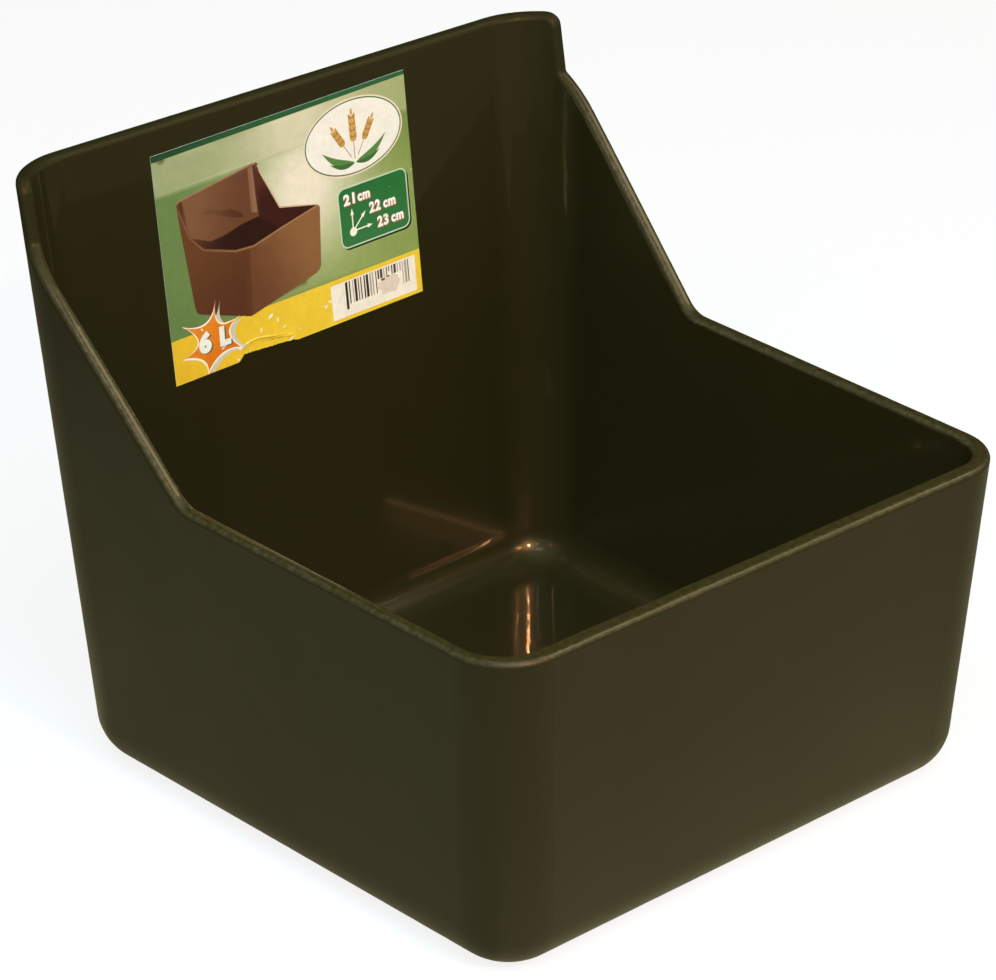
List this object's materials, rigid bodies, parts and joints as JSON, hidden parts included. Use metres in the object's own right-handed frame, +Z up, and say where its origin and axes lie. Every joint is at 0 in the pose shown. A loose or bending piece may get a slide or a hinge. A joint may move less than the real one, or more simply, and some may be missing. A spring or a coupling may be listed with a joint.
{
  "type": "feed trough",
  "caption": "Open box-shaped plastic feed trough with a low front rim, sloped shoulders, a high back wall with rounded corners, and a printed label inside the back wall.",
  "frame": {"origin": "middle of the bounding box's bottom face, on the standing plane", "axes": "+Z up, -Y is the low front wall an animal eats over, +Y the high back wall, X across the trough"},
  "size_m": [0.2298, 0.2312, 0.204],
  "materials": {
    "moulded_plastic": "dark olive-brown moulded polypropylene, satin outside, glossy inside",
    "printed_label": "coated self-adhesive paper, full-colour print"
  },
  "bodies": {
    "root": {"trough_shell": "moulded_plastic", "product_label": "printed_label"}
  },
  "joints": []
}
